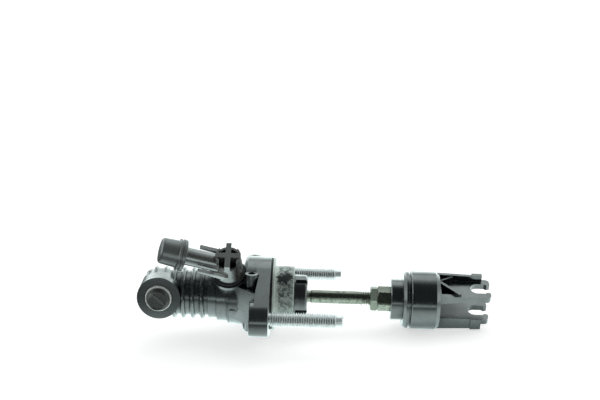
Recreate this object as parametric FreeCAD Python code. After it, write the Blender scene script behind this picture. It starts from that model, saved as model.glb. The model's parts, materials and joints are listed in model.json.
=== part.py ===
import FreeCAD, Part
import math
import os

# Clutch master cylinder with its pushrod and pedal clevis, in millimetres.
# Origin: centre of the flange face on the bore axis. +X runs to the pedal clevis, +Z is up,
# and -Y faces the outlet side.

# How far a fused piece reaches into its carrier, and a cutting tool past the face that it opens
bury = 1.0
past = 1.0

# Bore, plunger and seals
plunger_r = 7.94
plunger_x0 = -31.0
plunger_x1 = 7.6
plunger_stroke = 20.0
guide_gap = 0.05
seal_gap = 0.03
bore_gap = 0.35
bore_end_gap = 1.2
bore_end = plunger_x0 - plunger_stroke - bore_end_gap
passage_r = 1.6
plunger_nose = 1.0
plunger_tail = 0.6
port_r = 0.75
port_back = 4.2
port_count = 4
seal_heel = 1.7
seal_lip = 1.05
spacer_flange = 1.8
spacer_waist = 1.2
spacer_hole_r = 1.2
spacer_holes = 6
seal_pocket_r = 10.8
primary_x0 = -33.2
primary_x1 = -28.4
secondary_x0 = -18.6
pocket_end = -14.6
seat_gap = 0.05

# Barrel of the moulded body, which ends past the outlet's axis
outlet_land = 7.6
outlet_x = bore_end - outlet_land
barrel_nose = 8.4
barrel_x0 = outlet_x - barrel_nose
barrel_bevel = 1.5
barrel_r = 12.1
step_a_x = -33.6
step_a_r = 13.35
step_b_x = -28.8
step_b_r = 14.8
step_c_x = -22.5
cone_r0 = 15.8
cone_r1 = 16.7
rib_r = 14.05
rib_w = 2.2
rib_first = -37.2
rib_pitch = 5.1
rib_bevel = 0.7
rib_count = int((rib_first - barrel_x0 - rib_w) / rib_pitch) + 1
parting_w = 0.5
parting_h = 0.3
mark_x = -20.15
mark_l = 2.9
mark_z = -4.0
mark_w = 1.2
mark_h = 0.9

# Hub, flange plate and ears
hub_r = 21.1
hub_x0 = -14.6
hub_round = 2.0
hub_crown = 0.6
hub_foot = -17.2
plate_root_t = 6.2
plate_t = 7.7
ear_t = 10.2
ear_r = 9.4
ear_round = 0.5
ear_inset = 3.0
stud_pcd = 60.0
stud_r = 3.98
stud_spline_r = 4.6
stud_bevel = 0.7
stud_point_bevel = 0.5
stud_angle = 4.3
stud_end = 39.0
stud_point_r = 3.1
stud_point_l = 3.2
stud_root = -9.0

# Tangential retaining pins and their bosses
pin_x = -10.0
pin_y = 14.1
pin_r = 1.9
pin_wall = 0.55
pin_top = 15.8
pin_foot = -12.6
pin_boss_r = 3.6
pin_boss_top = 17.2
pin_boss_foot = -14.8
pin_groove_r = 12.15
pin_groove_w = 4.1
pin_slit = 0.7

# Gusset boxes between barrel and ears
gusset_reach = 33.7
gusset_root = 11.0
gusset_inner = 6.0
gusset_back_wall = 0.8
gusset_z0 = -9.0
gusset_z1 = 10.0
gusset_wall = 2.0
gusset_floor = -5.5

# Outlet port
outlet_r = 11.65
outlet_z = 1.7
outlet_face = -15.0
outlet_back = 0.6
insert_r = 7.1
insert_lip = 1.2
insert_foot = -5.0
insert_bore_r = 5.0
insert_rim = 0.55
insert_end = 1.2
plug_core_r = 4.95
plug_out = 5.2
plug_root_r = 4.35
plug_short = 1.5
plug_head = 1.4
plug_rim = 1.0
plug_dish = 0.9
plug_turns = 3
plug_turn_x0 = 2.2
plug_turn_w = 0.7
plug_pitch = 1.25
plug_bar_w = 2.2
plug_bar_t = 1.2
plug_bar_turn = 38.0
plug_slot_half = 3.2
plug_slot_w = 0.9
plug_slot_d = 0.5

# Inlet elbow on its inclined socket
inlet_x = -22.3
inlet_lean = 55.0
socket_r = 9.6
socket_foot_r = 8.6
socket_foot = 11.0
socket_rim = 19.0
socket_rim_l = 2.0
socket_stem = 6.0
socket_bore_r = 7.2
socket_relief_r = 9.1
socket_floor = 12.6
grommet_r = 8.7
grommet_t = 1.4
grommet_lift = 0.6
leg_r = 6.7
leg_base_r = 7.8
leg_tip = 35.2
leg_bore_r = 5.5
leg_foot = 13.8
leg_foot_r = 5.2
feed_r = 2.2
feed_start = 7.0
leg_floor = 27.2
cross_t = 2.8
cross_top = 0.4
lug_reach = 7.9
lug_l = 3.0
notch_x = 2.9
notch_w = 3.2
notch_near = 4.5
notch_far = 1.7
pipe_rise = 19.0
pipe_base = 26.0
pipe_r = 4.75
pipe_bore_r = 3.2
pipe_l = 31.0
barb_l = 4.0
barb_slope = 3.4
barb_h = 0.5
fin_offset = 7.7
fin_t = 2.0
fin_top = 0.9
fin_root = 1.6
fin_tip = 0.3
fin_l = 16.5
cap_r0 = 6.6
cap_r1 = 7.2
cap_ring_r = 8.4
cap_start = 24.2
cap_ring_l = 3.8
cap_groove_x = 1.9
cap_groove_w = 0.8
cap_groove_d = 0.7
cap_round = 0.6
cap_air = 1.2
cap_end = 37.6

# Gasket, collar and rod guide cap
gasket_t = 1.1
collar_flange_r = 19.8
collar_flange_z = 1.0
collar_flange_t = 1.15
gasket_inset = 0.4
collar_r = 16.1
collar_end = 12.6
collar_round = 0.8
spigot_r = 13.6
spigot_gap = 0.1
washer_seat = 7.7
washer_t = 1.4
washer_r = 11.1
washer_bore_r = 5.3
mouth_r = 11.2
snap_t = 1.1
snap_r = 12.1
snap_in_r = 9.6
snap_play = 0.05
snap_split = 4.8
snap_ear_r = 1.5
snap_eye_r = 0.6
snap_ear_y = 3.6
snap_ear_drop = 0.7
cap_body_r = 11.6
cap_body_x0 = 12.8
cap_body_x1 = 19.8
cap_hole_r = 5.8
cap_slot_x = 0.6
cap_slot_w = 3.0
cap_slot_d = 1.6
cap_slot_n = 4
cap_slot_turn = 28.0
cap_nose_round = 1.6
cap_face_t = 1.8
cap_foot_gap = 0.1
cap_side_gap = 0.02
o_ring_r = 0.88
o_ring_x = -4.2
o_ring_groove_d = 1.8
o_ring_groove_w = 2.4

# Return spring
spring_r = 4.2
wire_r = 0.6
spring_turns = 8.0
wire_sides = 8
coil_gap = 0.03
spring_seat_x = -10.0
hollow_r = 5.6

# Pushrod
ball_x = 0.8
ball_r = 4.0
ball_cup_r = 5.3
ball_cup_reach = 3.0
retainer_r = 6.3
retainer_bore_r = 4.0
retainer_x0 = 4.15
retainer_x1 = 6.4
neck_r = 2.5
neck_end = 5.6
neck_taper = 1.2
rod_r = 3.55
rod_neck_x = 21.0
rod_neck_r = 3.1
rod_neck_w = 1.2
thread_x = 49.4
rod_thread_r = 3.85
rod_tip = 70.5
rod_bevel = 0.6

# Lock nut, adjuster and clevis
nut_x0 = 54.2
nut_x1 = 58.0
nut_af = 12.0
nut_turn = 50.0
hex_drop = 0.55
hex_x1 = 72.0
hex_af = 12.4
hex_turn = 30.6
hex_shank_r = 5.6
hex_face = 65.0
grip_step = 1.6
sleeve_x1 = 72.2
sleeve_r = 11.1
sleeve_bevel = 0.5
sleeve_fillet = 0.8
sleeve_wall = 2.0
ring_x1 = 74.5
ring_r = 15.6
ring_slope = 1.3
ring_waist = 1.2
sleeve_foot = 84.0
sleeve_foot_r = 12.6
sleeve_bore_r = 6.3
cup_x0 = 75.8
cup_x1 = 89.2
cup_r = 15.8
cup_floor_x = 88.0
cup_lip = 0.5
cup_bevel = 2.0
cup_bevel_in = 1.3
clevis_lean = 72.0
arm_in = 5.8
arm_out = 9.0
arm_rim = 12.3
arm_half = 8.0
arm_root = 0.6
arm_root_l = 1.8
arm_root_drop = 1.2
arm_tip_r = 2.4
arm_x1 = 118.8
web_t = 1.6
web_h = 2.4
web_l = 17.0
rim_t = 1.7
rim_x1 = 114.6
rim_root = 13.1
rim_drop = 0.3
stop_x0 = 109.0
stop_h = 0.5
brace_t = 1.5
brace_h = 1.7
brace_apex = 1.2
brace_apex_y = -3.8
brace_rim_l = 8.6
brace_edge_l = 12.2
brace_edge_in = 0.5
pocket_floor = 0.8
pocket_y0 = -3.2
pocket_y1 = 5.6
pocket_l = 8.5
notch_y = -4.0
notch_l = 6.8
slot_r = 4.0
slot_x = 112.0
lead_l = 1.4
mouth_half = 3.0
mouth_x = 117.2

X_AXIS = FreeCAD.Vector(1, 0, 0)
Y_AXIS = FreeCAD.Vector(0, 1, 0)
Z_AXIS = FreeCAD.Vector(0, 0, 1)
ORIGIN = FreeCAD.Vector(0, 0, 0)


def vec(x, y, z):
    return FreeCAD.Vector(x, y, z)


def save(shape, name):
    clean = shape.removeSplitter()
    clean.exportStep("parts/" + name + ".step")


def rod_x(r, x0, x1, y=0.0, z=0.0):
    return Part.makeCylinder(r, x1 - x0, vec(x0, y, z), X_AXIS)


def ring_x(r_out, r_in, x0, x1):
    return rod_x(r_out, x0, x1).cut(rod_x(r_in, x0 - 1, x1 + 1))


def box(x0, x1, y0, y1, z0, z1):
    return Part.makeBox(x1 - x0, y1 - y0, z1 - z0, vec(x0, y0, z0))


def spin(points):
    """Solid of revolution about the bore axis from (x, r) points."""
    flat = [vec(x, r, 0) for x, r in points]
    wire = Part.makePolygon(flat + [flat[0]])
    return Part.Face(wire).revolve(ORIGIN, X_AXIS, 360)


def prism(points, base, along, length):
    """Extrude a closed polygon given as vectors."""
    pts = [base + p for p in points]
    wire = Part.makePolygon(pts + [pts[0]])
    return Part.Face(wire).extrude(along * length)


def hexagon(af, x0, x1, turn):
    r = af / math.sqrt(3.0)
    pts = []
    for k in range(6):
        a = math.radians(turn + 60.0 * k)
        pts.append(vec(x0, r * math.cos(a), r * math.sin(a)))
    return prism(pts, ORIGIN, X_AXIS, x1 - x0)


def mirrored(shape):
    return shape.mirror(ORIGIN, Y_AXIS)


def fuse(shapes):
    return shapes[0].fuse(shapes[1:])


def inlet_axis():
    a = math.radians(inlet_lean)
    return vec(0, -math.cos(a), math.sin(a))


def inlet_side():
    a = math.radians(inlet_lean)
    return vec(0, math.sin(a), math.cos(a))


def inlet_point(rho):
    return vec(inlet_x, 0, 0) + inlet_axis() * rho


def inlet_cyl(r, rho0, rho1):
    return Part.makeCylinder(r, rho1 - rho0, inlet_point(rho0), inlet_axis())


def pipe_axis():
    a = math.radians(pipe_rise)
    return X_AXIS * (-math.cos(a)) + inlet_axis() * math.sin(a)


def pipe_cyl(r, t0, t1):
    return Part.makeCylinder(r, t1 - t0, inlet_point(pipe_base) + pipe_axis() * t0, pipe_axis())


def stud_centre(side):
    a = math.radians(stud_angle)
    half = stud_pcd / 2.0 * side
    return half * math.cos(a), half * math.sin(a)


def barrel():
    profile = [(barrel_x0, 0), (barrel_x0, barrel_r - barrel_bevel), (barrel_x0 + barrel_bevel, barrel_r)]
    profile += [(step_a_x, barrel_r), (step_a_x, step_a_r), (step_b_x, step_a_r)]
    profile += [(step_b_x, step_b_r), (step_c_x, step_b_r), (step_c_x, cone_r0)]
    profile += [(hub_x0, cone_r1), (-bury, cone_r1), (-bury, 0)]
    return spin(profile)


def cooling_ribs():
    ribs = []
    tip = rib_bevel
    root = barrel_r - bury
    for k in range(rib_count):
        xc = rib_first - rib_pitch * k
        x0 = xc - rib_w / 2
        x1 = xc + rib_w / 2
        pts = [(x0, root), (x0, rib_r - tip), (x0 + tip, rib_r)]
        pts += [(x1 - tip, rib_r), (x1, rib_r - tip), (x1, root)]
        ribs.append(spin(pts))
    return ribs


def plate_backs():
    """Wedges that thin the plate's back from the ears in to the hub."""
    back = -plate_t - past
    wedges = []
    for side in (-1, 1):
        y_in = pin_y * side
        y_out = (stud_pcd / 2.0 - ear_inset) * side
        pts = [vec(back, y_in, 0), vec(-plate_root_t, y_in, 0), vec(-plate_t, y_out, 0), vec(back, y_out, 0)]
        wedges.append(prism(pts, Z_AXIS * (-2 * hub_r), Z_AXIS, 4 * hub_r))
    return wedges


def ear_web(side):
    """Plate with straight tangents from the hub circle to one ear."""
    ey, ez = stud_centre(side)
    dist = math.hypot(ey, ez)
    heading = math.atan2(ez, ey)
    spread = math.acos((hub_r - ear_r) / dist)
    pts = []
    for s in (1, -1):
        a = heading + s * spread
        pair = [vec(-plate_t, hub_r * math.cos(a), hub_r * math.sin(a))]
        pair.append(vec(-plate_t, ey + ear_r * math.cos(a), ez + ear_r * math.sin(a)))
        pts += pair if s > 0 else pair[::-1]
    return prism(pts, ORIGIN, X_AXIS, plate_t).cut(plate_backs())


def ear_boss(side):
    ey, ez = stud_centre(side)
    boss = rod_x(ear_r, -ear_t, 0, ey, ez)
    edges = [e for e in boss.Edges if abs(e.BoundBox.XMax - e.BoundBox.XMin) < 1e-6]
    return boss.makeFillet(ear_round, edges)


def hub():
    disc = rod_x(hub_r, -plate_t, 0)
    rear = spin([(hub_x0, 0), (hub_x0, hub_r - hub_round), (hub_x0 + hub_crown, hub_r - hub_crown),
                 (hub_x0 + hub_round, hub_r), (-bury, hub_r), (-bury, 0)])
    rear = rear.common(box(hub_x0 - past, 0, -pin_y, pin_y, hub_foot, hub_r))
    return [disc.cut(plate_backs()), rear]


def pin_boss(side):
    base = vec(pin_x, pin_y * side, pin_boss_foot)
    return Part.makeCylinder(pin_boss_r, pin_boss_top - pin_boss_foot, base, Z_AXIS)


def gusset(side):
    """Walled box with a 45 degree outer face, open at the top around the pin boss."""
    x_back = -gusset_reach + gusset_root
    x_front = -plate_t + bury / 2

    def slab(offset, x0, z0, z1):
        outer = gusset_reach - offset
        pts = [vec(x0, -gusset_inner, z0), vec(x0, -(outer + x0), z0)]
        pts += [vec(x_front, -(outer + x_front), z0), vec(x_front, -gusset_inner, z0)]
        return prism(pts, ORIGIN, Z_AXIS, z1 - z0)

    whole = slab(0.0, x_back, gusset_z0, gusset_z1)
    inside = x_back + gusset_back_wall
    hollow = slab(gusset_wall * math.sqrt(2.0), inside, gusset_floor, gusset_z1 + past)
    hollow = hollow.cut(rod_x(cone_r1 + 0.1, barrel_x0, 0))
    hollow = hollow.cut(box(-plate_t, past, -gusset_reach, 0, -hub_r, hub_r))
    shell = whole.cut(hollow)
    return shell if side < 0 else mirrored(shell)


def outlet_boss():
    length = outlet_back - outlet_face
    return Part.makeCylinder(outlet_r, length, vec(outlet_x, outlet_face, outlet_z), Y_AXIS)


def inlet_socket():
    """Flared socket that carries the elbow's grommet."""
    rise = socket_rim - socket_rim_l - socket_foot
    flare = Part.makeCone(socket_foot_r, socket_r, rise, inlet_point(socket_foot), inlet_axis())
    rim = inlet_cyl(socket_r, socket_rim - socket_rim_l, socket_rim)
    stem = inlet_cyl(socket_foot_r, socket_stem, socket_foot)
    return [stem, flare, rim]


def cylinder_body():
    solids = [barrel()] + cooling_ribs() + hub() + [outlet_boss()] + inlet_socket()
    for side in (-1, 1):
        solids += [ear_web(side), ear_boss(side), pin_boss(side), gusset(side)]
    y_near = -cone_r1 - mark_h
    seam = box(step_c_x - parting_w, step_c_x, y_near, 0, -cone_r1, 4 * bury)
    seam = seam.common(rod_x(cone_r0 + parting_h, step_c_x - parting_w, step_c_x))
    mark = box(mark_x - mark_l / 2, mark_x + mark_l / 2, y_near, 0, mark_z - mark_w / 2, mark_z + mark_w / 2)
    mark = mark.common(rod_x(cone_r0 + mark_h, mark_x - mark_l, mark_x + mark_l))
    body = fuse(solids + [seam, mark])
    cuts = [rod_x(plunger_r + bore_gap, bore_end, pocket_end + past)]
    cuts.append(rod_x(seal_pocket_r, primary_x0, pocket_end + past))
    cuts.append(rod_x(spigot_r + spigot_gap, pocket_end, past))
    cuts.append(rod_x(passage_r, outlet_x, bore_end + past, 0, outlet_z))
    face = vec(outlet_x, outlet_face, outlet_z)
    cuts.append(Part.makeCylinder(insert_r, insert_foot - outlet_face + past, face - Y_AXIS * past, Y_AXIS))
    cuts.append(Part.makeCylinder(passage_r, past - outlet_face, face, Y_AXIS))
    cuts.append(inlet_cyl(socket_bore_r, socket_floor, socket_rim + past))
    cuts.append(inlet_cyl(feed_r, feed_start, socket_floor + past))
    cuts.append(inlet_cyl(socket_relief_r, socket_rim, 2 * hub_r))
    for side in (-1, 1):
        base = vec(pin_x, pin_y * side, pin_boss_foot - past)
        cuts.append(Part.makeCylinder(pin_r, pin_boss_top - pin_boss_foot + 2 * past, base, Z_AXIS))
        ey, ez = stud_centre(side)
        cuts.append(rod_x(stud_spline_r, stud_root, past, ey, ez))
    return body.cut(cuts)


def outlet_insert():
    length = insert_foot - outlet_face + insert_lip
    base = vec(outlet_x, outlet_face - insert_lip, outlet_z)
    ring = Part.makeCylinder(insert_r, length, base, Y_AXIS)
    ring = ring.cut(Part.makeCylinder(insert_bore_r, length - insert_end, base, Y_AXIS))
    ring = ring.cut(Part.makeCylinder(passage_r, length + past, base, Y_AXIS))
    r_mouth = insert_r - insert_rim
    mouth = Part.makeCone(r_mouth, insert_bore_r, r_mouth - insert_bore_r, base, Y_AXIS)
    return ring.cut(mouth)


def outlet_plug():
    """Transit plug with three thread turns, a rim and a cross bar on its face."""
    tip = outlet_face - plug_out
    base = vec(outlet_x, tip, outlet_z)
    foot = insert_foot - plug_short
    plug = Part.makeCylinder(plug_root_r, foot - tip, base, Y_AXIS)
    solids = [plug, Part.makeCylinder(plug_core_r, plug_head, base, Y_AXIS)]
    for k in range(plug_turns):
        start = base + Y_AXIS * (plug_turn_x0 + plug_pitch * k)
        solids.append(Part.makeCylinder(plug_core_r, plug_turn_w, start, Y_AXIS))
    plug = fuse(solids)
    plug = plug.cut(Part.makeCylinder(plug_core_r - plug_rim, plug_dish, base, Y_AXIS))
    half = plug_core_r - plug_rim / 2
    bar = box(-half, half, 0, plug_bar_t, -plug_bar_w / 2, plug_bar_w / 2)
    slot_half = plug_slot_w / 2
    bar = bar.cut(box(-plug_slot_half, plug_slot_half, -past, plug_slot_d, -slot_half, slot_half))
    bar.rotate(ORIGIN, Y_AXIS, plug_bar_turn)
    bar.translate(base)
    return plug.fuse(bar)


def pipe_barb():
    foot = inlet_point(pipe_base) + pipe_axis() * (pipe_l - barb_l)
    return Part.makeCone(pipe_r + barb_h, pipe_r, barb_slope, foot, pipe_axis())


def elbow_fin(side):
    """Flat fin that runs beside the pipe from the leg."""
    foot = inlet_point(pipe_base) + inlet_side() * (fin_offset * side - fin_t / 2)
    a = math.radians(pipe_rise)
    up = X_AXIS * math.sin(a) + inlet_axis() * math.cos(a)
    end = pipe_axis() * fin_l
    pts = [up * -fin_root, end - up * fin_tip, end + up * fin_top, up * fin_top]
    return prism(pts, foot, inlet_side(), fin_t)


def tip_notches():
    """Two deep notches in the near side of the leg's rim and two shallow ones in the far side."""
    notches = []
    across = X_AXIS * notch_w
    for x in (-notch_x, notch_x):
        for reach, depth in ((-leg_base_r, notch_near), (leg_base_r, notch_far)):
            corner = inlet_point(leg_tip - depth) + X_AXIS * (x - notch_w / 2)
            out = inlet_side() * reach
            notches.append(prism([ORIGIN, across, across + out, out], corner, inlet_axis(), depth + past))
    return notches


def inlet_elbow():
    """Elbow with a cross-ribbed open end, two snap lugs, a side pipe and two fins."""
    base = socket_rim + grommet_t
    leg = Part.makeCone(leg_base_r, leg_r, leg_tip - base, inlet_point(base), inlet_axis())
    solids = [leg, inlet_cyl(leg_foot_r, leg_foot, base + bury), pipe_cyl(pipe_r, 0, pipe_l), pipe_barb()]
    solids += [elbow_fin(s) for s in (-1, 1)]
    elbow = fuse(solids).cut(inlet_cyl(leg_bore_r, leg_floor, leg_tip + past))
    elbow = elbow.cut(tip_notches())
    top = leg_tip + cross_top
    spans = ((X_AXIS, leg_r, leg_floor - bury / 2), (inlet_side(), leg_r, leg_floor - bury / 2),
             (inlet_side(), lug_reach, leg_tip - lug_l))
    bars = []
    for d, half, foot in spans:
        n = inlet_axis().cross(d)
        corner = inlet_point(foot) - d * half - n * (cross_t / 2)
        pts = [ORIGIN, n * cross_t, n * cross_t + d * (2 * half), d * (2 * half)]
        bars.append(prism(pts, corner, inlet_axis(), top - foot))
    elbow = elbow.fuse(bars)
    drill = inlet_cyl(feed_r, leg_foot - past, pipe_base)
    run = pipe_cyl(pipe_bore_r, 0, pipe_l + past)
    run = run.cut(inlet_cyl(leg_r, leg_floor - bury, leg_tip + pipe_r))
    return elbow.cut([drill, run])


def inlet_grommet():
    flange = inlet_cyl(grommet_r, socket_rim, socket_rim + grommet_t)
    sleeve = inlet_cyl(socket_bore_r, socket_floor + grommet_lift, socket_rim + bury / 2)
    return flange.fuse(sleeve).cut(inlet_cyl(leg_foot_r, socket_floor, socket_rim + grommet_t + past))


def inlet_cap():
    base = inlet_point(pipe_base) + pipe_axis() * cap_start
    length = cap_end - cap_start
    skin = Part.makeCone(cap_r1, cap_r0, length, base, pipe_axis())
    tip = [e for e in skin.Edges if abs(e.Length - 2 * math.pi * cap_r0) < 0.01]
    skin = skin.makeFillet(cap_round, tip)
    band = Part.makeCylinder(cap_ring_r, cap_ring_l, base, pipe_axis())
    groove_base = base + pipe_axis() * cap_groove_x
    groove = Part.makeCylinder(cap_ring_r + past, cap_groove_w, groove_base, pipe_axis())
    core = Part.makeCylinder(cap_ring_r - cap_groove_d, cap_groove_w, groove_base, pipe_axis())
    cap = skin.fuse(band.cut(groove.cut(core)))
    inside = pipe_cyl(pipe_r, cap_start - past, pipe_l + cap_air).fuse(pipe_barb())
    return cap.cut(inside)


def flange_gasket():
    disc = rod_x(collar_flange_r - gasket_inset, 0, gasket_t, 0, collar_flange_z)
    return disc.cut(rod_x(spigot_r + spigot_gap, -past, gasket_t + past))


def guide_collar():
    """Frosted metal collar: plunger guide, pin groove, flange disc and outer sleeve."""
    x_f = gasket_t + collar_flange_t
    solids = [rod_x(spigot_r, pocket_end, collar_end)]
    solids.append(rod_x(collar_flange_r, gasket_t, x_f, 0, collar_flange_z))
    sleeve = rod_x(collar_r, x_f, collar_end)
    lip = [e for e in sleeve.Edges if abs(e.BoundBox.XMin - collar_end) < 1e-6]
    solids.append(sleeve.makeFillet(collar_round, lip))
    collar = fuse(solids)
    cuts = [rod_x(plunger_r + guide_gap, pocket_end - past, collar_end + past)]
    cuts.append(rod_x(mouth_r, washer_seat, collar_end + past))
    cuts.append(rod_x(snap_r, washer_seat + washer_t, washer_seat + washer_t + snap_t))
    cuts.append(ring_x(spigot_r + past, pin_groove_r, pin_x - pin_groove_w / 2, pin_x + pin_groove_w / 2))
    groove_r = spigot_r + spigot_gap - o_ring_groove_d
    half = o_ring_groove_w / 2
    cuts.append(ring_x(spigot_r + past, groove_r, o_ring_x - half, o_ring_x + half))
    return collar.cut(cuts)


def collar_o_ring():
    middle = spigot_r + spigot_gap - o_ring_groove_d / 2
    return Part.makeTorus(middle, o_ring_r, vec(o_ring_x, 0, 0), X_AXIS)


def stop_washer():
    return ring_x(washer_r, washer_bore_r, washer_seat, washer_seat + washer_t)


def snap_ring():
    x0 = washer_seat + washer_t + snap_play
    x1 = washer_seat + washer_t + snap_t - snap_play
    ring = ring_x(snap_r - snap_play, snap_in_r, x0, x1)
    ring = ring.cut(box(x0 - past, x1 + past, -snap_split / 2, snap_split / 2, -hub_r, 0))
    z = snap_ear_drop - snap_in_r
    for y in (-snap_ear_y, snap_ear_y):
        ring = ring.fuse(rod_x(snap_ear_r, x0, x1, y, z))
        ring = ring.cut(rod_x(snap_eye_r, x0 - past, x1 + past, y, z))
    return ring


def rod_guide_cap():
    x_in = washer_seat + washer_t + snap_t + cap_foot_gap
    nose = rod_x(cap_body_r, cap_body_x0, cap_body_x1)
    rim = [e for e in nose.Edges if abs(e.BoundBox.XMin - cap_body_x1) < 1e-6]
    nose = nose.makeFillet(cap_nose_round, rim)
    cap = nose.fuse([rod_x(mouth_r - cap_side_gap, x_in, cap_body_x0)])
    cuts = [rod_x(cap_hole_r, x_in - past, cap_body_x1 + past)]
    cuts.append(rod_x(snap_in_r, x_in - past, cap_body_x1 - cap_face_t))
    half = cap_slot_w / 2
    for k in range(cap_slot_n):
        slot = box(cap_body_x0 + cap_slot_x, cap_body_x1 + past, cap_body_r - cap_slot_d, hub_r, -half, half)
        slot.rotate(ORIGIN, X_AXIS, 360.0 / cap_slot_n * k + cap_slot_turn)
        cuts.append(slot)
    return cap.cut(cuts)


def roll_pins():
    """Two slotted tubes, each with its slit turned away from the bore."""
    pins = []
    length = pin_top - pin_foot
    slit = box(pin_x - pin_slit / 2, pin_x + pin_slit / 2, pin_y, pin_y + 2 * pin_r, -hub_r, hub_r)
    for side in (-1, 1):
        base = vec(pin_x, pin_y * side, pin_foot)
        pin = Part.makeCylinder(pin_r, length, base, Z_AXIS)
        pin = pin.cut(Part.makeCylinder(pin_r - pin_wall, length, base, Z_AXIS))
        pins.append(pin.cut(slit if side > 0 else mirrored(slit)))
    return Part.makeCompound(pins)


def stud(side):
    """Stud with a splined root moulded into its ear and a dog point."""
    ey, ez = stud_centre(side)
    shoulder = stud_end - stud_point_l
    root = rod_x(stud_spline_r, stud_root, 0, ey, ez)
    shank = rod_x(stud_r, -bury, shoulder, ey, ez)
    tip = [e for e in shank.Edges if abs(e.BoundBox.XMin - shoulder) < 1e-6]
    shank = shank.makeChamfer(stud_bevel, tip)
    point = rod_x(stud_point_r, shoulder - bury, stud_end, ey, ez)
    tip = [e for e in point.Edges if abs(e.BoundBox.XMin - stud_end) < 1e-6]
    point = point.makeChamfer(stud_point_bevel, tip)
    return fuse([root, shank, point])


def cup_seal(x0, x1):
    """Stationary lip seal round the plunger: both lips point to the pressure side."""
    r_in = plunger_r + seal_gap
    r_out = seal_pocket_r
    heel = x1 - seal_heel
    tip = seal_lip * 0.7
    pts = [(x1, r_in), (x1, r_out), (x0, r_out), (x0, r_out - tip), (heel, r_out - seal_lip)]
    pts += [(heel, r_in + seal_lip), (x0, r_in + tip), (x0, r_in)]
    return spin(pts)


def seal_spacer():
    r_in = plunger_r + bore_gap
    r_out = seal_pocket_r
    x0 = primary_x1
    x1 = secondary_x0
    waist = ring_x(r_out + past, r_out - spacer_waist, x0 + spacer_flange, x1 - spacer_flange)
    holes = []
    for k in range(spacer_holes):
        hole = Part.makeCylinder(spacer_hole_r, hub_r, vec((x0 + x1) / 2, 0, 0), Y_AXIS)
        hole.rotate(ORIGIN, X_AXIS, 360.0 / spacer_holes * (k + 0.25))
        holes.append(hole)
    return ring_x(r_out, r_in, x0, x1).cut([waist] + holes)


def plunger():
    """Hollow plunger: spring bore in front, ball socket behind."""
    pts = [(plunger_x0, hollow_r), (plunger_x0, plunger_r - plunger_nose)]
    pts += [(plunger_x0 + plunger_nose, plunger_r), (plunger_x1 - plunger_tail, plunger_r)]
    pts += [(plunger_x1, plunger_r - plunger_tail), (plunger_x1, 0)]
    pts += [(spring_seat_x, 0), (spring_seat_x, hollow_r)]
    cup = ball_cup_r + seat_gap
    cuts = [Part.makeSphere(cup, vec(ball_x, 0, 0), X_AXIS)]
    cuts.append(rod_x(cup, ball_x, plunger_x1 + past))
    cuts.append(rod_x(retainer_r, retainer_x0, plunger_x1 + past))
    for k in range(port_count):
        port = Part.makeCylinder(port_r, hub_r, vec(plunger_x0 + port_back, 0, 0), Y_AXIS)
        port.rotate(ORIGIN, X_AXIS, 360.0 / port_count * k)
        cuts.append(port)
    return spin(pts).cut(cuts)


def ball_retainer():
    return ring_x(retainer_r, retainer_bore_r, retainer_x0, retainer_x1)


def ball_seat():
    """Thin nylon cup between ball and plunger."""
    cup = Part.makeSphere(ball_cup_r, vec(ball_x, 0, 0), X_AXIS)
    cup = cup.common(rod_x(ball_cup_r, ball_x - 2 * ball_r, ball_x + ball_cup_reach))
    return cup.cut(Part.makeSphere(ball_r + seat_gap, vec(ball_x, 0, 0), X_AXIS))


def pushrod():
    ball = Part.makeSphere(ball_r, vec(ball_x, 0, 0), X_AXIS)
    neck = rod_x(neck_r, ball_x, neck_end)
    taper = Part.makeCone(neck_r, rod_r, neck_taper, vec(neck_end, 0, 0), X_AXIS)
    half = rod_neck_w / 2
    shank = rod_x(rod_r, neck_end + neck_taper, rod_neck_x - half)
    waist = rod_x(rod_neck_r, rod_neck_x - half, rod_neck_x + half)
    front = rod_x(rod_r, rod_neck_x + half, thread_x)
    threaded = rod_x(rod_thread_r, thread_x, rod_tip)
    tip = [e for e in threaded.Edges if abs(e.BoundBox.XMax - e.BoundBox.XMin) < 1e-6]
    threaded = threaded.makeChamfer(rod_bevel, tip)
    return fuse([ball, neck, taper, shank, waist, front, threaded])


def bevelled_hex(af, x0, x1, turn, both_ends):
    """Hexagon turned down to a cone at its first end, or at both."""
    corner = af / math.sqrt(3.0)
    face = af / 2
    pts = [(x0, 0), (x0, face), (x0 + hex_drop, corner)]
    if both_ends:
        pts += [(x1 - hex_drop, corner), (x1, face), (x1, 0)]
    else:
        pts += [(x1, corner), (x1, 0)]
    return hexagon(af, x0, x1, turn).common(spin(pts))


def lock_nut():
    nut = bevelled_hex(nut_af, nut_x0, nut_x1, nut_turn, True)
    return nut.cut(rod_x(rod_thread_r, nut_x0 - past, nut_x1 + past))


def adjuster_hex():
    """Hexagonal insert nut with a round shank held in the clevis sleeve."""
    head = bevelled_hex(hex_af, nut_x1, hex_face, hex_turn, False)
    shank = rod_x(hex_shank_r, hex_face - bury, hex_x1)
    grip = rod_x(sleeve_bore_r, hex_face + grip_step, hex_x1)
    return fuse([head, shank, grip]).cut(rod_x(rod_thread_r, nut_x1 - past, hex_x1 + past))


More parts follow.
